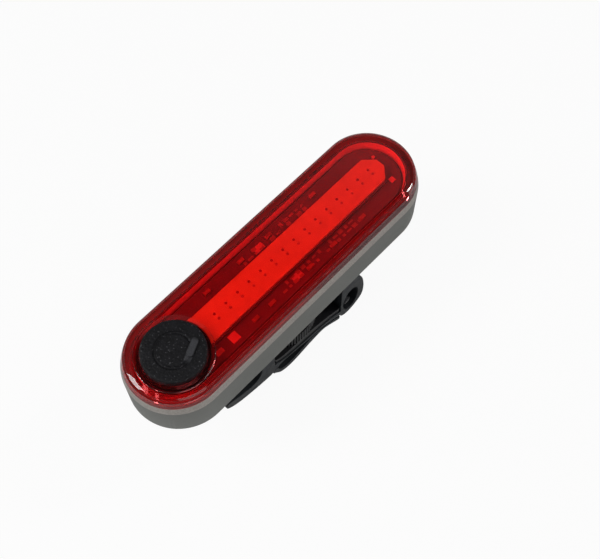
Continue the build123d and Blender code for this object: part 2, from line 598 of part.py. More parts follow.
# Socket board on its two ribs
with BuildPart() as socket_board:
    extrude(plates([(SOCKET_X, 0)], SOCKET_BOARD_LENGTH, SOCKET_BOARD_WIDTH, SOCKET_BOARD_UNDER),
            amount=SOCKET_BOARD_THICKNESS)
    extrude(discs(screw_places, BOARD_SCREW_DIAMETER + 2 * BOARD_SCREW_CLEARANCE, SOCKET_BOARD_UNDER),
            amount=SOCKET_BOARD_THICKNESS, mode=Mode.SUBTRACT)
named(socket_board, "socket_board")

# Link pins between the two boards
with BuildPart() as link_pins:
    pin_x = SOCKET_X - SOCKET_BOARD_LENGTH / 2 + PIN_INSET
    pin_places = [(pin_x, (pin - (PIN_COUNT - 1) / 2) * PIN_PITCH) for pin in range(PIN_COUNT)]
    extrude(plates(pin_places, PIN_SIZE, PIN_SIZE, SOCKET_BOARD_TOP), amount=PIN_LENGTH)
named(link_pins, "link_pins")

# Screws of the socket board
with BuildPart() as board_screws:
    extrude(discs(screw_places, BOARD_SCREW_DIAMETER, SOCKET_BOARD_TOP - BOARD_SCREW_LENGTH),
            amount=BOARD_SCREW_LENGTH)
    extrude(discs(screw_places, BOARD_SCREW_HEAD, SOCKET_BOARD_TOP), amount=BOARD_SCREW_HEAD_HEIGHT)
named(board_screws, "board_screws")

# Socket flap: a flush rubber door with a round hinge edge and a plug for the opening
with BuildPart() as flap:
    extrude(flap_outline(FLAP_START, HINGE_X, FLAP_WIDTH, BACK), amount=FLAP_THICKNESS)
    middle(side_circle((HINGE_X, HINGE_Z), KNUCKLE_DIAMETER / 2), FLAP_WIDTH)
    extrude(plates([(SOCKET_X, 0)], LIP_WIDTH, LIP_LENGTH, BACK + FLAP_THICKNESS), amount=LIP_HEIGHT)
named(flap, "socket_flap")

# Bracket: a curved beam with a round disc and hub that turn under the light, and a lug for the eye pin
with BuildPart() as bracket:
    middle(side_outline([BEAM_UNDER_SHARES, BEAM_END_SHARES, BEAM_TOP_SHARES, BEAM_LEFT_SHARES]), BEAM_WIDTH)
    extrude(discs([(0, 0)], DISC_DIAMETER, DISC_BOTTOM), amount=BACK - DISC_GAP - DISC_BOTTOM)
    extrude(discs([(0, 0)], HUB_DIAMETER, BACK - DISC_GAP), amount=DISC_GAP + HUB_SEAT - HUB_GAP)
    eye_pin_x, eye_pin_z = side_point(PIN_SHARES)
    with BuildSketch(Plane.XZ) as lug:
        with BuildLine():
            Polyline(side_point(LUG_ROOT_SHARES[0]), (eye_pin_x, eye_pin_z + LUG_RADIUS),
                     (eye_pin_x, eye_pin_z - LUG_RADIUS), side_point(LUG_ROOT_SHARES[1]), close=True)
        make_face()
        with Locations((eye_pin_x, eye_pin_z)):
            Circle(LUG_RADIUS)
            Circle(EYE_PIN_DIAMETER / 2 + EYE_PIN_CLEARANCE, mode=Mode.SUBTRACT)
    middle(lug.sketch, LUG_WIDTH)
    extrude(discs([(0, 0)], HUB_BORE, 0), amount=BACK + HUB_SEAT, mode=Mode.SUBTRACT)
    extrude(discs([(0, 0)], SCREW_HEAD + 2 * COUNTERBORE_CLEARANCE, 0), amount=COUNTERBORE_TOP,
            mode=Mode.SUBTRACT)
named(bracket, "bracket")

# Eye pin: a steel pin through the lug and the saddle's eye
with BuildPart() as eye_pin:
    middle(side_circle((eye_pin_x, eye_pin_z), EYE_PIN_DIAMETER / 2), MOUNT_WIDTH - 2 * EYE_PIN_INSET)
    fillet(eye_pin.edges().filter_by(GeomType.CIRCLE), EYE_PIN_ROUND)
named(eye_pin, "eye_pin")

# Swivel screw, from under the bracket into the housing's boss
with BuildPart() as screw:
    extrude(discs([(0, 0)], SCREW_HEAD, SCREW_HEAD_BOTTOM), amount=SCREW_HEAD_HEIGHT)
    extrude(discs([(0, 0)], SCREW_DIAMETER, SCREW_HEAD_TOP),
            amount=SCREW_TOP - SCREW_TIP_GAP - SCREW_HEAD_TOP)
    extrude(plates([(0, 0)], SCREW_HEAD, SCREW_SLOT_WIDTH, SCREW_HEAD_BOTTOM), amount=SCREW_SLOT_DEPTH,
            mode=Mode.SUBTRACT)
named(screw, "swivel_screw")

# Spring washer between the screw's head and the bracket
with BuildPart() as washer:
    extrude(discs([(0, 0)], WASHER_DIAMETER, SCREW_HEAD_TOP + WASHER_GAP), amount=WASHER_THICKNESS)
    extrude(discs([(0, 0)], HUB_BORE, SCREW_HEAD_TOP + WASHER_GAP), amount=WASHER_THICKNESS,
            mode=Mode.SUBTRACT)
named(washer, "spring_washer")

# Rubber saddle: a pull tongue, a post behind the beam, a thin seat under it and an eye round the pin
with BuildPart() as saddle:
    middle(side_outline([TONGUE_TIP_SHARES, TONGUE_UNDER_SHARES, FOLD_SHARES, SEAT_SHARES, SEAT_END_SHARES,
                         EYE_UNDER_SHARES, EYE_TO_POST_SHARES, POST_TOP_SHARES, TONGUE_TOP_SHARES]),
           MOUNT_WIDTH)
    middle(side_outline([POCKET_LEFT_SHARES, POCKET_CORNER_SHARES, BEAM_UNDER_SHARES, POCKET_END_SHARES,
                         POCKET_RIGHT_SHARES, POCKET_TOP_SHARES], MOUNT_GAP), MOUNT_WIDTH, Mode.SUBTRACT)
    with BuildSketch(Plane.XZ) as eye:
        with Locations(side_point(EYE_SHARES)):
            Ellipse(EYE_WIDTH / 2, EYE_HEIGHT / 2)
    middle(eye.sketch, MOUNT_WIDTH, Mode.SUBTRACT)
    with BuildSketch(Plane.XZ) as lug_gap:
        with Locations((eye_pin_x - LUG_RADIUS, eye_pin_z)):
            Rectangle(2 * LUG_RADIUS, 2 * (LUG_RADIUS + LUG_CLEARANCE))
    middle(lug_gap.sketch, LUG_WIDTH + 2 * LUG_CLEARANCE, Mode.SUBTRACT)
    middle(side_circle(side_point(KNOT_SHARES), KNOT_RADIUS + KNOT_CLEARANCE), MOUNT_WIDTH, Mode.SUBTRACT)
    extrude(discs([(0, 0)], DISC_DIAMETER + 2 * MOUNT_GAP, DISC_BOTTOM - MOUNT_GAP),
            amount=BACK - DISC_BOTTOM, mode=Mode.SUBTRACT)
named(saddle, "rubber_saddle")

# Strap: the rubber strap that folds under the seat and goes round the tube
with BuildPart() as strap:
    middle(side_outline([STRAP_UNDER_SHARES, STRAP_END_SHARES, STRAP_TOP_SHARES, STRAP_ROOT_SHARES]),
           MOUNT_WIDTH)
    middle(side_circle(side_point(KNOT_SHARES), KNOT_RADIUS), MOUNT_WIDTH)
named(strap, "strap")
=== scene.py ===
"""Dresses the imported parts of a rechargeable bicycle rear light: finishes, edges, moulded detail, stage."""
import json
import math

import bmesh
import bpy
from mathutils import Matrix, Vector

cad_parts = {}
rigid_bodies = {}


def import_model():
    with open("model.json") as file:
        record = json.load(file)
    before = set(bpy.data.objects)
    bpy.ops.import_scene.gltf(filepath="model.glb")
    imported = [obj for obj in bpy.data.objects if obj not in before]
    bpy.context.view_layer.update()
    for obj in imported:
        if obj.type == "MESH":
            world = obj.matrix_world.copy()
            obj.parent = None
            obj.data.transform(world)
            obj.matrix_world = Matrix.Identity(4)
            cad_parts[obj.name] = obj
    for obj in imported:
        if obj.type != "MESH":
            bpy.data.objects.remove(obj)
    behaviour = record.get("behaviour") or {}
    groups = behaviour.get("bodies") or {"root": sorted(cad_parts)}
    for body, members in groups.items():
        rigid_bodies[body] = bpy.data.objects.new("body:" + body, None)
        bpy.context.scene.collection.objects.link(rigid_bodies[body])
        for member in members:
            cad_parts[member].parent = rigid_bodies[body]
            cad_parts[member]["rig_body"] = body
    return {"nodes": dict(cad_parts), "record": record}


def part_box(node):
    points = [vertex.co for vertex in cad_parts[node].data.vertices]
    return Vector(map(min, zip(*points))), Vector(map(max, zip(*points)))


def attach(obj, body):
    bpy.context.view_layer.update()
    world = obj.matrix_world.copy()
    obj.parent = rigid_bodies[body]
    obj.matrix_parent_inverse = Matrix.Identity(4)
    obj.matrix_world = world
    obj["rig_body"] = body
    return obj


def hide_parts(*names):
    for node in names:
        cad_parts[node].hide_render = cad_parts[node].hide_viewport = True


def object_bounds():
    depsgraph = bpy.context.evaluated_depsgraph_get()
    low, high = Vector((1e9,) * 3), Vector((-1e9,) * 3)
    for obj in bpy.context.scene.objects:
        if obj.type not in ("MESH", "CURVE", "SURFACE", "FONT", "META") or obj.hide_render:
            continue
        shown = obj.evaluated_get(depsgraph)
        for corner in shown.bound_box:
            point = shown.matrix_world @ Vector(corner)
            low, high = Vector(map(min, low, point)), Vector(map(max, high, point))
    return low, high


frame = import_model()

bl_info = {
    "name": "Bicycle rear light",
    "version": (1, 0, 0),
    "blender": (4, 5, 0),
    "location": "3D View > Sidebar > Rear light",
    "description": "Finishes, moulded detail and stage for the parts of a bicycle rear light",
    "category": "Object",
}

CAD_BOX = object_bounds()
NODES = frame["nodes"]
MM = 0.001

# Places taken from the frame
LENS_LOW, LENS_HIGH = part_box("lens")
BOARD_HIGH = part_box("main_board")[1]
BUTTON_LOW, BUTTON_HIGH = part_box("button_cap")
BRACKET_LOW, BRACKET_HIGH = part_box("bracket")
BUTTON_X = (BUTTON_LOW.x + BUTTON_HIGH.x) / 2
FAR_ARC_X = LENS_LOW.x + LENS_HIGH.x - BUTTON_X
FLOOR_LEVEL = CAD_BOX[0][2]

# Levels under the lens ring's top, where a finish changes: painted light on the shoulder, the pale reflector,
# painted shade on its lip and the rim's crown
SHOULDER_LEVEL = LENS_HIGH.z - 4.4 * MM
REFLECTOR_LEVEL = LENS_HIGH.z - 3.75 * MM
LIP_LEVEL = LENS_HIGH.z - 1.54 * MM
RIM_TOP_LOW = LENS_HIGH.z - 0.46 * MM
RIM_TOP_HIGH = LENS_HIGH.z - 0.41 * MM

# The rim's crown: where it starts off the middle line, how wide it is and how far it falls
RIM_START = 7.9 * MM
RIM_FALL = 1.8 * MM
CROWN_DEPTH = 0.42 * MM

# The raised bar on the button: its middle, the turn of its length from the X axis in degrees, and where its
# painted light starts and stops fading along and across it
BAR_PLACE = Vector((BUTTON_X + 2.45 * MM, -2.5 * MM))
BAR_TURN = 24
BAR_END = (1.7 * MM, 2.9 * MM)
BAR_SIDE = (0.5 * MM, 0.85 * MM)

# Rows of small pads: name, first pad's place along the board, place across it in millimetres, count and seed
PAD_ROWS = (
    ("pad_row_near_outer", -0.5, -5.65, 15, 3),
    ("pad_row_near_inner", 1.1, -4.5, 13, 8),
    ("pad_row_far_inner", -1.6, 4.55, 12, 5),
    ("pad_row_far_outer", 0.2, 5.6, 11, 11),
)
PAD_LEVEL = BOARD_HIGH.z + 0.05 * MM

# Larger pads: name, place along and across the board and size in millimetres
LARGE_PADS = (
    ("large_pad_near", 3.6, -5.05, 2.5, 1.5),
    ("large_pad_far", 2.85, 5.1, 2.4, 1.5),
    ("large_pad_button", -18.8, -5.35, 1.9, 1.1),
)
LARGE_PAD_LEVEL = BOARD_HIGH.z + 0.03 * MM
LARGE_PAD_THICKNESS = 0.08 * MM

# Level of the middle of the bracket's ribs
RIB_LEVEL = BRACKET_HIGH.z - 5.0 * MM

# Camera, fitted to the photograph's perspective
CAMERA_AZIMUTH = math.radians(-46.76)
CAMERA_ELEVATION = math.radians(64.10)
CAMERA_DISTANCE = 209.9 * MM
CAMERA_AIM = Vector((4.362, -5.083, 17.568)) * MM
SENSOR_WIDTH = 36.0
FOCAL_LENGTH = 61.44
CLIP_START = 5 * MM

# Meshes: how near two corners are one, and the angles of a flat joint, of an edge and of the lens's edges
MERGE_DISTANCE = 0.002 * MM
FLAT_ANGLE = math.radians(0.5)
EDGE_ANGLE = math.radians(35)
LENS_ANGLE = math.radians(20)

# How far the lens's underside stays clear of what it rests on
LENS_LIFT = 0.05 * MM

# Rounded edges: steps in a rounding, and its width on the smaller pieces
EDGE_SEGMENTS = 3
PAD_EDGE = 0.14 * MM
BUTTON_EDGE = 0.2 * MM
BRACKET_EDGE = 0.2 * MM
FLAP_EDGE = 0.12 * MM

# Colours of the smaller pieces and details, in linear light
GASKET_COLOUR = (0.32, 0.05, 0.05)
CHIP_DARK = (0.34, 0.14, 0.08)
CHIP_PALE = (0.50, 0.34, 0.18)
LAMP_COLOUR = (0.75, 0.35, 0.25)
CERAMIC_COLOUR = (0.34, 0.12, 0.10)
# Painted shade on the top of the reflector wall
LIP_SHADE_COLOUR = (0.05, 0.01, 0.01)
POUCH_COLOUR = (0.70, 0.71, 0.72)
FOAM_COLOUR = (0.09, 0.09, 0.095)
SLEEVE_COLOUR = (0.50, 0.02, 0.02)
BLACK_PLASTIC = (0.03, 0.03, 0.03)
PLATED_COLOUR = (0.62, 0.62, 0.63)
# Painted glints on the grain of the button
PAINTED_GLINT_COLOUR = (0.13, 0.13, 0.14)
# Painted light on the raised bar of the button
BAR_LIGHT_COLOUR = (0.055, 0.056, 0.062)
PIN_COLOUR = (0.02, 0.02, 0.022)
FLAP_COLOUR = (0.018, 0.018, 0.02)
FLOOR_COLOUR = (0.75, 0.75, 0.75)
WHITE = (1.0, 1.0, 1.0)

# Brightness of the walls and ceiling by the height of the direction, from the horizon to straight up
SKY_LEVELS = ((0.0, 0.45), (0.25, 0.28), (0.5, 0.14), (0.78, 0.20), (0.84, 0.26), (0.895, 0.03))

# The floor's half width, and how much of its white the camera sees, the rest being its lit surface
FLOOR_HALF = 3.0
FLOOR_WHITE = 0.93

# Lamps: azimuth and elevation in degrees, distance and sizes in metres, power in watts
LAMPS = {
    "key_box": (142, 44, 0.5, (0.14, 0.22), 1.1),
    "left_box": (178, 42, 0.5, (0.05, 0.14), 0.3),
    "right_box": (-24, 42, 0.5, (0.05, 0.12), 0.4),
    "fill_box": (-110, 60, 0.6, (0.30, 0.30), 0.4),
    "low_box": (-70, 16, 0.6, (0.90, 0.22), 1.2),
}


class Value:
    """One output of a node. Sums on it add Math nodes."""

    def __init__(self, tree, socket):
        self.tree = tree
        self.socket = socket

    def sum(self, operation, first, second=None):
        """Adds one Math node."""
        values = {"0": first} if second is None else {"0": first, "1": second}
        return self.tree.node("ShaderNodeMath", {"operation": operation}, values)["Value"]

    def __add__(self, other):
        return self.sum("ADD", self, other)

    def __radd__(self, other):
        return self.sum("ADD", other, self)

    def __sub__(self, other):
        return self.sum("SUBTRACT", self, other)

    def __rsub__(self, other):
        return self.sum("SUBTRACT", other, self)

    def __mul__(self, other):
        return self.sum("MULTIPLY", self, other)

    def __rmul__(self, other):
        return self.sum("MULTIPLY", other, self)

    def __truediv__(self, other):
        return self.sum("DIVIDE", self, other)

    def __rtruediv__(self, other):
        return self.sum("DIVIDE", other, self)

    def __pow__(self, other):
        return self.sum("POWER", self, other)

    def __rpow__(self, other):
        return self.sum("POWER", other, self)

    def __abs__(self):
        return self.sum("ABSOLUTE", self)

    def larger(self, other):
        """The larger of two values."""
        return self.sum("MAXIMUM", self, other)

    def above(self, low):
        """The part of the value over a limit, and 0 below it."""
        return (self - low).larger(0.0)

    def beyond(self, limit):
        """1 where the value is over a limit, and 0 elsewhere."""
        return self.sum("GREATER_THAN", self, limit)

    def past(self, level, blur):
        """0 below a level and 1 above it, blurred by a distance on each side."""
        return self.step(level - blur, level + blur)

    def step(self, low, high):
        """0 below low and 1 above high, smooth between."""
        return self.tree.node("ShaderNodeMapRange", {"interpolation_type": "SMOOTHSTEP"}, {
            "Value": self, "From Min": low, "From Max": high})["Result"]


class Outputs:
    """The outputs of a node, by name."""

    def __init__(self, tree, node):
        self.tree = tree
        self.node = node

    def __getitem__(self, name):
        found = [s for s in self.node.outputs if s.enabled and name in (s.identifier, s.name)]
        return Value(self.tree, found[0])


class Tree:
    """A node tree being built."""

    def __init__(self, tree):
        self.tree = tree

    def feed(self, sockets, name, value):
        """Links or sets the socket that has this name, or else this number."""
        found = [s for s in sockets if s.enabled and name in (s.identifier, s.name)]
        socket = found[0] if found else sockets[int(name)]
        if isinstance(value, Value):
            self.tree.links.new(value.socket, socket)
        elif socket.type == "RGBA":
            socket.default_value = (*value, 1.0)[:4]
        else:
            socket.default_value = value

    def fill(self, ramp, stops):
        """Gives a ramp its grey stops. It starts with two."""
        for step, (place, level) in enumerate(stops):
            stop = ramp.elements[step] if step < 2 else ramp.elements.new(place)
            stop.position = place
            stop.color = (level, level, level, 1.0)

    def node(self, kind, settings=None, values=None):
        """Adds a node: its settings and a ramp's stops first, then the values or links of its sockets."""
        made = self.tree.nodes.new(kind)
        for name, value in (settings or {}).items():
            if name == "stops":
                self.fill(made.color_ramp, value)
            else:
                setattr(made, name, value)
        for name, value in (values or {}).items():
            self.feed(made.inputs, name, value)
        return Outputs(self, made)


class Finish(Tree):
    """A material being built: its nodes and the shader that they feed."""

    def __init__(self, name):
        self.material = bpy.data.materials.new(name)
        self.material.use_nodes = True
        super().__init__(self.material.node_tree)
        self.shader = self.tree.nodes["Principled BSDF"]
        self.output = self.tree.nodes["Material Output"]
        self.place = self.node("ShaderNodeTexCoord")["Object"]

    def noise(self, size, detail=2.0, roughness=0.5, place=None):
        """Soft random variation of a given grain size in metres."""
        return self.node("ShaderNodeTexNoise", None, {
            "Vector": place or self.place, "Scale": 1 / size, "Detail": detail,
            "Roughness": roughness})["Fac"]

    def cells(self, size, smooth):
        """Smoothed distance to the nearest of many random points, a given size apart."""
        return self.node("ShaderNodeTexVoronoi", {"feature": "SMOOTH_F1"}, {
            "Vector": self.place, "Scale": 1 / size, "Smoothness": smooth})["Distance"]

    def along(self, axis):
        """The Object coordinate along X, Y or Z, in metres."""
        return self.node("ShaderNodeSeparateXYZ", None, {"Vector": self.place})[axis]

    def stretched(self, scale):
        """Object coordinates stretched along the axes, for grain with a direction."""
        return self.node("ShaderNodeMapping", None, {"Vector": self.place, "Scale": scale})["Vector"]

    def blend(self, factor, first, second):
        """One colour turning into another as the factor goes from 0 to 1."""
        return self.node("ShaderNodeMix", {"data_type": "RGBA"}, {
            "Factor_Float": factor, "A_Color": first, "B_Color": second})["Result_Color"]

    def bump(self, height, depth, strength, under=None):
        """A surface relief: height from 0 to 1 times a depth in metres."""
        values = {"Height": height, "Distance": depth, "Strength": strength}
        if under is not None:
            values["Normal"] = under
        return self.node("ShaderNodeBump", None, values)["Normal"]

    def off_axis(self):
        """Distance from the light's middle line, which runs between the centres of its two round ends."""
        past_far = (self.along("X") - FAR_ARC_X).above(0.0)
        past_near = (BUTTON_X - self.along("X")).above(0.0)
        return (past_far ** 2.0 + past_near ** 2.0 + self.along("Y") ** 2.0) ** 0.5

    def set(self, **values):
        """Sets or links the shader's sockets, named with _ for each space."""
        for name, value in values.items():
            words = (word if word == "IOR" else word.capitalize() for word in name.split("_"))
            self.feed(self.shader.inputs, " ".join(words), value)
        return self.material


def shaded(colour, share):
    """A colour made lighter or darker by a share."""
    return tuple(c * share for c in colour)


# Finishes


def satin_shell(colour, shoulder):
    """Satin grey paint with a fine speckle, and painted light on the shoulder: a lighter band above the
    shoulder level.
    """
    finish = Finish("satin_shell")
    level = finish.along("Z")
    fine = finish.noise(0.2 * MM, 3.0, 0.7)
    broad = finish.noise(9 * MM, 2.0)
    body = finish.blend(fine.step(0.35, 0.7), shaded(colour, 0.93), shaded(colour, 1.08))
    body = finish.blend(broad.step(0.3, 0.75) * 0.5, body, shaded(colour, 0.93))
    # Painted light: the band above the shoulder level is made lighter than the wall, for the light that falls
    # on its chamfer.
    painted_light = finish.blend(finish.noise(0.32 * MM, 3.0, 0.8).step(0.38, 0.64), shaded(shoulder, 0.82),
                       shaded(shoulder, 1.22))
    share = level.past(SHOULDER_LEVEL, 0.05 * MM)
    return finish.set(
        base_color=finish.blend(share, body, painted_light), metallic=0.25, specular_IOR_level=0.5,
        roughness=0.40 + 0.10 * finish.noise(0.5 * MM) - 0.06 * share,
        normal=finish.bump(finish.noise(0.12 * MM, 2.0, 0.6), 0.008 * MM, 0.7))


def clear_red(tint):
    """Clear red moulded plastic with a gently crowned rim, which lets lamps through to what is inside."""
    finish = Finish("clear_red")
    ripple = finish.bump(finish.noise(7 * MM, 1.0), 0.02 * MM, 0.4)
    fall = (finish.off_axis() - RIM_START).above(0.0) / RIM_FALL
    top = finish.along("Z").step(RIM_TOP_LOW, RIM_TOP_HIGH)
    crown = finish.bump((1 - fall ** 2.0) * top, CROWN_DEPTH, 1.0, ripple)
    finish.set(base_color=tint, roughness=0.02, IOR=1.49, transmission_weight=1.0, normal=crown)
    lamp_ray = finish.node("ShaderNodeLightPath")["Is Shadow Ray"]
    passed = finish.node("ShaderNodeBsdfTransparent", None, {"Color": tint})
    glass = Value(finish, finish.shader.outputs["BSDF"])
    both = finish.node("ShaderNodeMixShader", None, {"0": lamp_ray, "1": glass, "2": passed["BSDF"]})
    finish.tree.links.new(both["Shader"].socket, finish.output.inputs["Surface"])
    return finish.material


def soft_gel(colour):
    """The light strip's soft, even coloured layer."""
    finish = Finish("soft_gel")
    cloud = finish.noise(3 * MM, 2.0).step(0.3, 0.7)
    grain = finish.noise(0.25 * MM, 3.0)
    return finish.set(
        base_color=finish.blend(cloud, shaded(colour, 0.95), shaded(colour, 1.03)), roughness=0.38,
        specular_IOR_level=0.4, normal=finish.bump(grain, 0.01 * MM, 0.5))


def chip_wells(dark, pale):
    """Chips sunk in the strip: the row under the far edge is darker."""
    finish = Finish("chip_wells")
    row = finish.along("Y").past(0.0, 0.1 * MM)
    uneven = finish.noise(1.1 * MM, 2.0).step(0.35, 0.65)
    base = finish.blend(row, finish.blend(uneven, pale, shaded(pale, 0.8)),
                        finish.blend(uneven, dark, shaded(dark, 0.7)))
    return finish.set(base_color=base, roughness=0.3 + 0.1 * uneven,
                      normal=finish.bump(finish.noise(0.15 * MM), 0.01 * MM, 0.6))


def coated_board(colour):
    """Dark board lacquer with faint copper lines under it."""
    finish = Finish("coated_board")
    weave = finish.noise(0.35 * MM, 2.0)
    cloud = finish.noise(5 * MM, 3.0)
    base = finish.blend(weave.step(0.35, 0.65), shaded(colour, 0.9), shaded(colour, 1.1))
    base = finish.blend(cloud.step(0.35, 0.75) * 0.4, base, shaded(colour, 1.25))
    return finish.set(base_color=base, roughness=0.42 + 0.15 * weave,
                      normal=finish.bump(weave, 0.01 * MM, 0.5))


def moulded(name, colour, roughness, grain=0.2 * MM, depth=0.01 * MM, gloss=0.5):
    """Moulded plastic: a fine spark-eroded texture and slightly uneven gloss."""
    finish = Finish(name)
    fine = finish.noise(grain, 3.0, 0.6)
    broad = finish.noise(4 * MM, 2.0).step(0.3, 0.7)
    base = finish.blend(broad, shaded(colour, 0.9), shaded(colour, 1.1))
    return finish.set(base_color=base, roughness=roughness - 0.06 + 0.12 * fine, specular_IOR_level=gloss,
                      normal=finish.bump(fine, depth, 0.6))


def reflector_frame(colour, pale, lip):
    """Moulded frame with a pale sloping reflector wall, and painted shade on that wall's lip: a near-black
    band at its top.
    """
    finish = Finish("reflector_frame")
    fine = finish.noise(0.2 * MM, 3.0, 0.6)
    level = finish.along("Z")
    base = finish.blend(finish.noise(3 * MM, 2.0).step(0.3, 0.7), colour, shaded(colour, 0.85))
    base = finish.blend(level.past(REFLECTOR_LEVEL, 0.03 * MM), base, pale)
    # Painted shade: the top of the reflector wall is made near black, so that it reads as in shade.
    base = finish.blend(level.past(LIP_LEVEL, 0.02 * MM), base, lip)
    return finish.set(base_color=base, roughness=0.34 + 0.12 * fine,
                      normal=finish.bump(fine, 0.01 * MM, 0.6))


def grained_rubber(colour, painted_glint, bar_light):
    """Black rubber with a coarse grain, painted glints on the grain and painted light on the raised bar."""
    finish = Finish("grained_rubber")
    grain = finish.cells(0.5 * MM, 0.4)
    fine = finish.noise(0.22 * MM, 3.0, 0.7)
    glint = finish.noise(0.42 * MM, 2.0, 0.6).step(0.62, 0.70)
    broad = finish.noise(1.6 * MM, 3.0, 0.6).step(0.35, 0.7)
    base = finish.blend(fine.step(0.35, 0.7), shaded(colour, 0.4), shaded(colour, 1.8))
    base = finish.blend(broad * 0.5, base, shaded(colour, 2.4))
    # Painted glints: sparse bright specks in the colour, standing in for highlights on the grain.
    base = finish.blend(glint * 0.5, base, painted_glint)
    along = finish.along("X") - BAR_PLACE.x
    across = finish.along("Y") - BAR_PLACE.y
    turn = math.radians(BAR_TURN)
    run = abs(along * math.cos(turn) + across * math.sin(turn))
    side = abs(across * math.cos(turn) - along * math.sin(turn))
    bar = (1 - run.step(*BAR_END)) * (1 - side.step(*BAR_SIDE))
    # Painted light: the raised bar is made lighter, for the light that falls on it.
    base = finish.blend(bar * (0.5 + 0.5 * fine), base, bar_light)
    relief = finish.bump(1 - grain, 0.10 * MM, 0.9, finish.bump(fine, 0.03 * MM, 0.7))
    return finish.set(base_color=base, roughness=0.5 + 0.2 * fine - 0.2 * glint, specular_IOR_level=0.2,
                      normal=relief)


def silicone(colour):
    """Soft dark silicone with a faint bloom, fine moulding lines and a satin skin."""
    finish = Finish("silicone")
    bloom = finish.noise(2.5 * MM, 4.0, 0.65).step(0.35, 0.75)
    fine = finish.noise(0.1 * MM, 3.0, 0.6)
    lines = finish.noise(0.35 * MM, 1.0, 0.5, finish.stretched((1, 0.08, 1)))
    base = finish.blend(bloom * 0.6, colour, shaded(colour, 1.6))
    return finish.set(base_color=base, roughness=0.42 + 0.14 * bloom, specular_IOR_level=0.3,
                      normal=finish.bump(lines * 0.5 + fine * 0.5, 0.012 * MM, 0.6))


def metal(name, colour, roughness):
    """Plated or brushed metal with fine scratches."""
    finish = Finish(name)
    scratch = finish.noise(0.12 * MM, 4.0, 0.7)
    stain = finish.noise(1.5 * MM, 3.0).step(0.35, 0.75)
    return finish.set(base_color=finish.blend(stain, colour, shaded(colour, 0.75)), metallic=1.0,
                      roughness=roughness + 0.12 * scratch, normal=finish.bump(scratch, 0.004 * MM, 0.6))


# Meshes


def paint(node, material):
    """Gives a CAD node's object a finish."""
    part = NODES[node]
    if not part.material_slots:
        part.data.materials.append(material)
    for place in part.material_slots:
        place.material = material


def slot_of(node):
    """The record's material slot of a CAD node."""
    return next(part["material_slot"] for part in frame["record"]["subparts"] if part["node"] == node)


def link_mesh(name, mesh, material):
    """Puts a finished mesh into the scene."""
    piece = bpy.data.objects.new(name, mesh)
    bpy.context.scene.collection.objects.link(piece)
    if material is not None:
        piece.data.materials.clear()
        piece.data.materials.append(material)
    return piece


def smooth_by_angle(mesh, angle):
    """Shades a mesh smooth, except over edges sharper than an angle."""
    shape = bmesh.new()
    shape.from_mesh(mesh)
    for face in shape.faces:
        face.smooth = True
    for edge in shape.edges:
        edge.smooth = len(edge.link_faces) == 2 and edge.calc_face_angle(0.0) < angle
    shape.to_mesh(mesh)
    shape.free()


def plain_mesh(piece, name):
    """Turns an object with modifiers into one with a plain mesh."""
    evaluated = piece.evaluated_get(bpy.context.evaluated_depsgraph_get())
    finished = bpy.data.meshes.new_from_object(evaluated)
    piece.modifiers.clear()
    piece.data = finished
    finished.name = name


def dressed(name, node, width, material, lift=None, angle=EDGE_ANGLE):
    """A copy of a CAD node with its flat faces joined and its edges rounded. lift is a level and its rise."""
    mesh = bpy.data.meshes.new(name)
    shape = bmesh.new()
    shape.from_mesh(NODES[node].data)
    bmesh.ops.remove_doubles(shape, verts=shape.verts, dist=MERGE_DISTANCE)
    bmesh.ops.dissolve_limit(shape, angle_limit=FLAT_ANGLE, verts=shape.verts, edges=shape.edges)
    if lift:
        level, rise = lift
        for vert in shape.verts:
            if abs(vert.co.z - level) < MERGE_DISTANCE:
                vert.co.z += rise
    shape.to_mesh(mesh)
    shape.free()
    smooth_by_angle(mesh, angle)
    piece = link_mesh(name, mesh, material)
    rounding = piece.modifiers.new("Rounded edges", "BEVEL")
    rounding.width = width
    rounding.segments = EDGE_SEGMENTS
    rounding.limit_method = "ANGLE"
    rounding.angle_limit = angle
    rounding.harden_normals = True
    rounding.miter_outer = "MITER_ARC"
    plain_mesh(piece, name)
    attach(piece, NODES[node]["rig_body"])
    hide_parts(node)
    slot_of(node)


class Repeat(Tree):
    """A geometry tree with named inputs, which ends in one realized mesh with a material."""

    def __init__(self, name, inputs):
        super().__init__(bpy.data.node_groups.new(name, "GeometryNodeTree"))
        self.inputs = inputs
        self.sockets = {}
        for label, (kind, value) in inputs.items():
            self.sockets[label] = self.tree.interface.new_socket(label, in_out="INPUT", socket_type=kind)
        self.tree.interface.new_socket("Geometry", in_out="OUTPUT", socket_type="NodeSocketGeometry")
        self.given = self.node("NodeGroupInput")

    def end(self, instances):
        """Realizes the instances, sets their material and closes the tree."""
        real = self.node("GeometryNodeRealizeInstances", None, {"Geometry": instances})["Geometry"]
        made = self.node("GeometryNodeSetMaterial", None, {
            "Geometry": real, "Material": self.given["Material"]})
        self.node("NodeGroupOutput", None, {"Geometry": made["Geometry"]})

    def make(self, name, node, values=None):
        """A piece with this tree's mesh, on a CAD node's body."""
        piece = link_mesh(name, bpy.data.meshes.new(name), None)
        maker = piece.modifiers.new("Repeat", "NODES")
        maker.node_group = self.tree
        for label, (kind, value) in self.inputs.items():
            maker[self.sockets[label].identifier] = (values or {}).get(label, value)
        plain_mesh(piece, name)
        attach(piece, NODES[node]["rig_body"])
        slot_of(node)


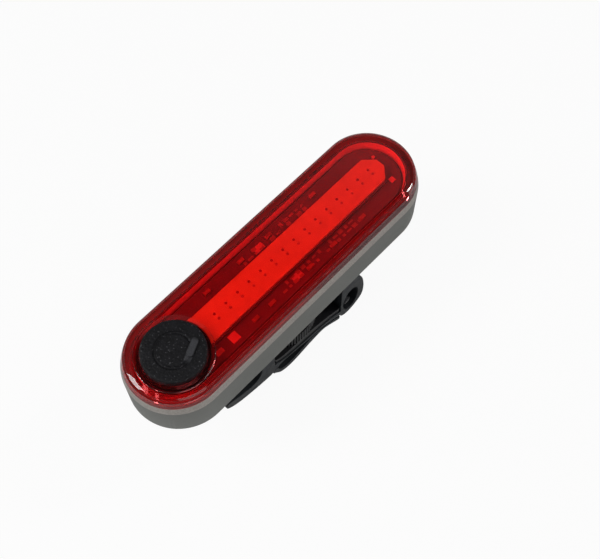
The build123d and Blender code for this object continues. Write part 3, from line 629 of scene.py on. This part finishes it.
def pad_rows(material):
    """Tree for a row of small flat pads of uneven length, with gaps in it."""
    tree = Repeat("pad_rows", {
        "Start": ("NodeSocketVector", (0.0, 0.0, 0.0)), "Pitch": ("NodeSocketFloat", 1.0 * MM),
        "Count": ("NodeSocketInt", 10), "Pad size": ("NodeSocketVector", (1.45 * MM, 0.95 * MM, 0.1 * MM)),
        "Gaps": ("NodeSocketFloat", 0.2), "Least": ("NodeSocketFloat", 0.35), "Seed": ("NodeSocketInt", 1),
        "Material": ("NodeSocketMaterial", material)})
    given = tree.given
    step = tree.node("ShaderNodeCombineXYZ", None, {"X": given["Pitch"]})["Vector"]
    line = tree.node("GeometryNodeMeshLine", {"mode": "OFFSET"}, {
        "Count": given["Count"], "Start Location": given["Start"], "Offset": step})["Mesh"]
    dropped = tree.node("FunctionNodeRandomValue", {"data_type": "BOOLEAN"}, {
        "Probability": given["Gaps"], "Seed": given["Seed"]})["Value"]
    line = tree.node("GeometryNodeDeleteGeometry", {"domain": "POINT"}, {
        "Geometry": line, "Selection": dropped})["Geometry"]
    pad = tree.node("GeometryNodeMeshCube", None, {"Size": given["Pad size"]})["Mesh"]
    least = tree.node("ShaderNodeCombineXYZ", None, {
        "X": given["Least"], "Y": given["Least"], "Z": 1.0})["Vector"]
    scale = tree.node("FunctionNodeRandomValue", {"data_type": "FLOAT_VECTOR"}, {
        "Min": least, "Max": (1.0, 1.0, 1.0), "Seed": given["Seed"]})["Value"]
    tree.end(tree.node("GeometryNodeInstanceOnPoints", None, {
        "Points": line, "Instance": pad, "Scale": scale})["Instances"])
    return tree


def rim_ribs(material):
    """Tree for short upright ribs side by side on part of a round rim."""
    tree = Repeat("rim_ribs", {
        "Radius": ("NodeSocketFloat", 10 * MM), "Count": ("NodeSocketInt", 90),
        "Middle": ("NodeSocketVector", (0.0, 0.0, 0.0)), "Rib radius": ("NodeSocketFloat", 0.25 * MM),
        "Rib length": ("NodeSocketFloat", 3.6 * MM), "Reach": ("NodeSocketFloat", 5 * MM),
        "Material": ("NodeSocketMaterial", material)})
    given = tree.given
    ring = tree.node("GeometryNodeMeshCircle", None, {
        "Vertices": given["Count"], "Radius": given["Radius"]})["Mesh"]
    spot = tree.node("ShaderNodeSeparateXYZ", None, {
        "Vector": tree.node("GeometryNodeInputPosition")["Position"]})
    away = abs(spot["X"]).beyond(given["Reach"])
    ring = tree.node("GeometryNodeDeleteGeometry", {"domain": "POINT"}, {
        "Geometry": ring, "Selection": away})["Geometry"]
    ring = tree.node("GeometryNodeSetPosition", None, {
        "Geometry": ring, "Offset": given["Middle"]})["Geometry"]
    rib = tree.node("GeometryNodeMeshCylinder", None, {
        "Vertices": 10, "Radius": given["Rib radius"], "Depth": given["Rib length"]})["Mesh"]
    tree.end(tree.node("GeometryNodeInstanceOnPoints", None, {"Points": ring, "Instance": rib})["Instances"])
    return tree


# Settings that a user would change


def colour_property(name, description, default):
    """A colour setting in linear light."""
    return bpy.props.FloatVectorProperty(name=name, description=description, default=default, size=3,
                                         subtype="COLOR", min=0.0, max=1.0)


class RearLightColours(bpy.types.PropertyGroup):
    """Colours of the rear light's finishes"""
    shell: colour_property("Shell", "Satin paint of the housing", (0.135, 0.139, 0.128))
    # The shoulder colour is painted light: a lighter band for the light that falls on the housing's chamfer.
    shoulder: colour_property("Shoulder", "Bright cut edge of the housing", (0.29, 0.265, 0.24))
    lens: colour_property("Lens", "Tint of the clear red lens", (0.95, 0.155, 0.165))
    strip: colour_property("Strip", "Soft layer over the light chips", (0.64, 0.58, 0.20))
    board: colour_property("Board", "Lacquer of the main board", (0.14, 0.05, 0.09))
    pads: colour_property("Pads", "Tinned pads on the boards", (0.62, 0.30, 0.26))
    frame: colour_property("Inner frame", "Moulded frame inside the housing", (0.38, 0.05, 0.10))
    reflector: colour_property("Reflector", "Pale sloping wall round the board", (0.85, 0.50, 0.50))
    button: colour_property("Button", "Black rubber of the push button", (0.004, 0.004, 0.005))
    rubber: colour_property("Mount rubber", "Silicone of the saddle and strap", (0.007, 0.009, 0.011))
    nylon: colour_property("Bracket", "Moulded nylon of the bracket", (0.005, 0.005, 0.006))


class RearLightSizes(bpy.types.PropertyGroup):
    """Sizes of the rear light's rounded edges, small pads and ribs"""
    shell_edge: bpy.props.FloatProperty(name="Shell edge", description="Rounding of the housing's edges",
                                        default=0.15 * MM, unit="LENGTH")
    lens_edge: bpy.props.FloatProperty(name="Lens edge", description="Rounding of the lens's edges",
                                       default=0.07 * MM, unit="LENGTH")
    rubber_edge: bpy.props.FloatProperty(name="Rubber edge", description="Rounding of the rubber's edges",
                                         default=0.35 * MM, unit="LENGTH")
    pad_pitch: bpy.props.FloatProperty(name="Pad pitch", description="Spacing of the small pads on the board",
                                       default=1.6 * MM, unit="LENGTH")
    rib_radius: bpy.props.FloatProperty(name="Rib radius", description="Radius of the ribs on the bracket",
                                        default=0.25 * MM, unit="LENGTH")


def colours():
    """The colours set in the panel."""
    return bpy.context.scene.rear_light_colours


def sizes():
    """The sizes set in the panel."""
    return bpy.context.scene.rear_light_sizes


class REARLIGHT_OT_housing(bpy.types.Operator):
    """Give the housing its satin paint and its bright cut shoulder"""
    bl_idname = "rearlight.housing"
    bl_label = "Housing"

    def execute(self, context):
        dressed("housing_shell", "housing", sizes().shell_edge,
                satin_shell(colours().shell, colours().shoulder))
        return {"FINISHED"}


class REARLIGHT_OT_lens(bpy.types.Operator):
    """Give the lens its clear red plastic, and its gasket"""
    bl_idname = "rearlight.lens"
    bl_label = "Lens"

    def execute(self, context):
        dressed("clear_lens", "lens", sizes().lens_edge, clear_red(colours().lens),
                lift=(LENS_LOW.z, LENS_LIFT), angle=LENS_ANGLE)
        paint("lens_gasket", moulded("gasket_rubber", GASKET_COLOUR, 0.6))
        return {"FINISHED"}


class REARLIGHT_OT_boards(bpy.types.Operator):
    """Finish the boards, the light strip and what is soldered to them"""
    bl_idname = "rearlight.boards"
    bl_label = "Boards and strip"

    def execute(self, context):
        board = coated_board(colours().board)
        for node in ("main_board", "strip_board", "socket_board"):
            paint(node, board)
        paint("light_strip", soft_gel(colours().strip))
        paint("light_chips", chip_wells(CHIP_DARK, CHIP_PALE))
        paint("charge_lamp", moulded("lamp_chip", LAMP_COLOUR, 0.25))
        paint("board_parts", moulded("ceramic", CERAMIC_COLOUR, 0.35))
        tinned = moulded("tinned_pad", shaded(colours().pads, 1.1), 0.3)
        dressed("tinned_pads", "solder_pads", PAD_EDGE, tinned)
        return {"FINISHED"}


class REARLIGHT_OT_small_pads(bpy.types.Operator):
    """Lay rows of small pads on the board, beside the light strip"""
    bl_idname = "rearlight.small_pads"
    bl_label = "Small pads"

    def execute(self, context):
        tree = pad_rows(moulded("small_pad", shaded(colours().pads, 0.55), 0.35))
        bright = moulded("large_pad", shaded(colours().pads, 0.95), 0.3)
        for name, start, offset, count, seed in PAD_ROWS:
            tree.make(name, "solder_pads", {
                "Start": (start * MM, offset * MM, PAD_LEVEL), "Pitch": sizes().pad_pitch,
                "Count": count, "Seed": seed})
        for name, start, offset, length, width in LARGE_PADS:
            tree.make(name, "solder_pads", {
                "Start": (start * MM, offset * MM, LARGE_PAD_LEVEL), "Count": 1, "Gaps": 0.0, "Least": 1.0,
                "Pad size": (length * MM, width * MM, LARGE_PAD_THICKNESS), "Material": bright})
        return {"FINISHED"}


class REARLIGHT_OT_inside(bpy.types.Operator):
    """Finish the inner frame, the cell, its leads and the push switch"""
    bl_idname = "rearlight.inside"
    bl_label = "Inside"

    def execute(self, context):
        paint("inner_frame", reflector_frame(colours().frame, colours().reflector, LIP_SHADE_COLOUR))
        paint("battery", metal("foil_pouch", POUCH_COLOUR, 0.35))
        paint("foam_pad", moulded("foam", FOAM_COLOUR, 0.9, 0.4 * MM, 0.15 * MM))
        paint("battery_leads", moulded("wire_sleeve", SLEEVE_COLOUR, 0.4))
        switch = moulded("switch_plastic", BLACK_PLASTIC, 0.4)
        paint("switch_base", switch)
        paint("switch_plunger", switch)
        plated = metal("plated_steel", PLATED_COLOUR, 0.25)
        for node in ("socket_shell", "link_pins", "board_screws", "swivel_screw", "spring_washer"):
            paint(node, plated)
        paint("socket_tongue", moulded("insulator", BLACK_PLASTIC, 0.4))
        return {"FINISHED"}


class REARLIGHT_OT_button(bpy.types.Operator):
    """Make the grained rubber button with its moulded mark"""
    bl_idname = "rearlight.button"
    bl_label = "Button"

    def execute(self, context):
        rubber = grained_rubber(colours().button, PAINTED_GLINT_COLOUR, BAR_LIGHT_COLOUR)
        dressed("rubber_button", "button_cap", BUTTON_EDGE, rubber)
        return {"FINISHED"}


class REARLIGHT_OT_mount(bpy.types.Operator):
    """Dress the bracket, its ribbed rim, its pin, the rubber saddle and the strap"""
    bl_idname = "rearlight.mount"
    bl_label = "Mount"

    def execute(self, context):
        rubber = silicone(colours().rubber)
        dressed("silicone_saddle", "rubber_saddle", sizes().rubber_edge, rubber)
        dressed("silicone_strap", "strap", sizes().rubber_edge, rubber)
        nylon = moulded("nylon", colours().nylon, 0.38, 0.15 * MM, gloss=0.4)
        dressed("nylon_bracket", "bracket", BRACKET_EDGE, nylon)
        rim_ribs(nylon).make("bracket_ribs", "bracket", {
            "Radius": -BRACKET_LOW.y, "Middle": (0.0, 0.0, RIB_LEVEL),
            "Rib radius": sizes().rib_radius})
        paint("eye_pin", metal("blackened_steel", PIN_COLOUR, 0.3))
        dressed("charging_flap", "socket_flap", FLAP_EDGE, moulded("flap_rubber", FLAP_COLOUR, 0.5))
        return {"FINISHED"}


# Stage


def lamp(name, azimuth, elevation, distance, size, power):
    """A soft rectangular lamp that shines at the rear light from a direction."""
    data = bpy.data.lights.new(name, "AREA")
    data.shape = "RECTANGLE"
    data.size, data.size_y = size
    data.energy = power
    source = bpy.data.objects.new(name, data)
    bpy.context.scene.collection.objects.link(source)
    turn, tilt = math.radians(azimuth), math.radians(elevation)
    away = Vector((math.cos(turn) * math.cos(tilt), math.sin(turn) * math.cos(tilt), math.sin(tilt)))
    source.location = CAMERA_AIM + away * distance
    source.rotation_euler = away.to_track_quat("Z", "Y").to_euler()


def camera():
    """The camera at the photograph's place."""
    data = bpy.data.cameras.new("camera")
    data.sensor_fit = "HORIZONTAL"
    data.sensor_width = SENSOR_WIDTH
    data.lens = FOCAL_LENGTH
    data.clip_start = CLIP_START
    eye = bpy.data.objects.new("camera", data)
    bpy.context.scene.collection.objects.link(eye)
    back = Vector((math.sin(CAMERA_AZIMUTH) * math.cos(CAMERA_ELEVATION),
                   -math.cos(CAMERA_AZIMUTH) * math.cos(CAMERA_ELEVATION), math.sin(CAMERA_ELEVATION)))
    right = Vector((math.cos(CAMERA_AZIMUTH), math.sin(CAMERA_AZIMUTH), 0.0))
    up = back.cross(right)
    turn = Matrix((right, up, back)).transposed().to_4x4()
    eye.matrix_world = Matrix.Translation(CAMERA_AIM + back * CAMERA_DISTANCE) @ turn
    bpy.context.scene.camera = eye


def floor():
    """A pale floor that shows white to the camera and keeps the light's shadow."""
    finish = Finish("pale_floor")
    finish.set(base_color=FLOOR_COLOUR, roughness=0.9)
    path = finish.node("ShaderNodeLightPath")
    seen = path["Is Camera Ray"].larger(path["Is Transmission Ray"])
    glow = finish.node("ShaderNodeEmission", None, {"Color": WHITE, "Strength": 1.0})
    lit = Value(finish, finish.shader.outputs["BSDF"])
    both = finish.node("ShaderNodeMixShader", None, {
        "0": FLOOR_WHITE * seen, "1": lit, "2": glow["Emission"]})
    finish.tree.links.new(both["Shader"].socket, finish.output.inputs["Surface"])
    mesh = bpy.data.meshes.new("floor")
    corners = ((-FLOOR_HALF, -FLOOR_HALF), (FLOOR_HALF, -FLOOR_HALF), (FLOOR_HALF, FLOOR_HALF),
               (-FLOOR_HALF, FLOOR_HALF))
    mesh.from_pydata([(x, y, FLOOR_LEVEL) for x, y in corners], [], [(0, 1, 2, 3)])
    link_mesh("floor", mesh, finish.material)


def studio():
    """Pale walls all round and a dimmer ceiling, behind a backdrop that shows white to the camera."""
    world = bpy.data.worlds.new("studio")
    bpy.context.scene.world = world
    world.use_nodes = True
    tree = Tree(world.node_tree)
    direction = tree.node("ShaderNodeTexCoord")["Generated"]
    height = tree.node("ShaderNodeSeparateXYZ", None, {"Vector": direction})["Z"]
    walls = tree.node("ShaderNodeValToRGB", {"stops": SKY_LEVELS}, {"Fac": height})["Color"]
    seen = tree.node("ShaderNodeLightPath")["Is Camera Ray"]
    shown = tree.node("ShaderNodeMix", {"data_type": "RGBA"}, {
        "Factor_Float": seen, "A_Color": walls, "B_Color": WHITE})["Result_Color"]
    tree.feed(world.node_tree.nodes["Background"].inputs, "Color", shown)


class REARLIGHT_OT_stage(bpy.types.Operator):
    """Set up the floor, the studio light and the camera"""
    bl_idname = "rearlight.stage"
    bl_label = "Stage"

    def execute(self, context):
        context.scene.view_settings.view_transform = "Standard"
        floor()
        studio()
        for name, place in LAMPS.items():
            lamp(name, *place)
        camera()
        return {"FINISHED"}


class REARLIGHT_PT_panel(bpy.types.Panel):
    """Lists the steps that dress the rear light"""
    bl_idname = "REARLIGHT_PT_panel"
    bl_label = "Rear light"
    bl_space_type = "VIEW_3D"
    bl_region_type = "UI"
    bl_category = "Rear light"

    def draw(self, context):
        for settings in (colours(), sizes()):
            for name in settings.__annotations__:
                self.layout.prop(settings, name)
        for step in STEPS:
            self.layout.operator(step.bl_idname)


STEPS = (REARLIGHT_OT_housing, REARLIGHT_OT_lens, REARLIGHT_OT_boards, REARLIGHT_OT_small_pads,
         REARLIGHT_OT_inside, REARLIGHT_OT_button, REARLIGHT_OT_mount, REARLIGHT_OT_stage)
CLASSES = (RearLightColours, RearLightSizes, *STEPS, REARLIGHT_PT_panel)


def register():
    """Adds the settings, the steps and the panel to Blender."""
    for item in CLASSES:
        bpy.utils.register_class(item)
    bpy.types.Scene.rear_light_colours = bpy.props.PointerProperty(type=RearLightColours)
    bpy.types.Scene.rear_light_sizes = bpy.props.PointerProperty(type=RearLightSizes)


def unregister():
    """Takes the panel, the steps and the settings away again."""
    del bpy.types.Scene.rear_light_sizes
    del bpy.types.Scene.rear_light_colours
    for item in reversed(CLASSES):
        bpy.utils.unregister_class(item)


def main():
    """Runs every step in order."""
    register()
    for step in STEPS:
        group, name = step.bl_idname.split(".")
        getattr(getattr(bpy.ops, group), name)()
    bpy.context.view_layer.update()


if __name__ == "__main__":
    main()
